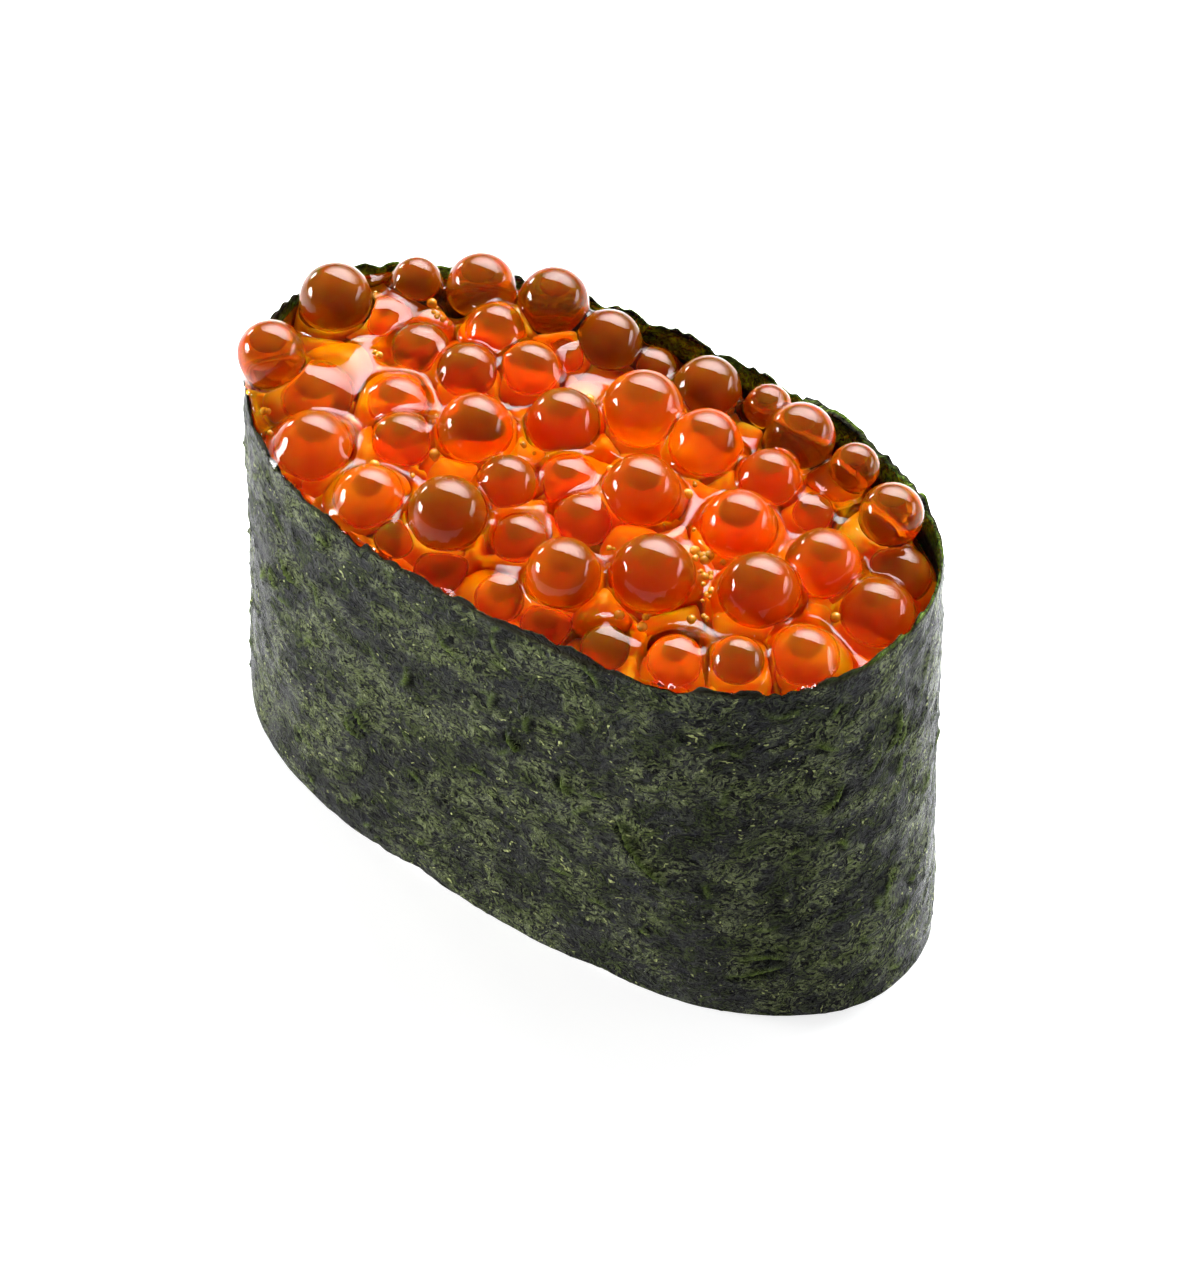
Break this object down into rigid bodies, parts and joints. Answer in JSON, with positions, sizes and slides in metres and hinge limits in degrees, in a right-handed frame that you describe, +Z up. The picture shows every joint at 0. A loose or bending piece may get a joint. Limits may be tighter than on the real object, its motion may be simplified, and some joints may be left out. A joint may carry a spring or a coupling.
{
  "type": "gunkan sushi",
  "caption": "Oval gunkan sushi: a band of nori stood on edge round pressed rice, filled with a heap of glossy salmon roe in its liquid.",
  "frame": {"origin": "middle of the footprint, on the surface that the piece stands on", "axes": "+X along the oval's length, towards the end nearer the camera in the picture, +Z up"},
  "size_m": [0.052, 0.0272, 0.0352],
  "materials": {
    "nori": "satin toasted seaweed sheet, blackish green with paler flecks",
    "rice": "moist cooked rice grains, slightly translucent white",
    "roe": "wet translucent orange eggs in thick glossy liquid"
  },
  "bodies": {
    "root": {"nori": "nori", "rice": "rice", "roe": "roe"}
  },
  "joints": []
}
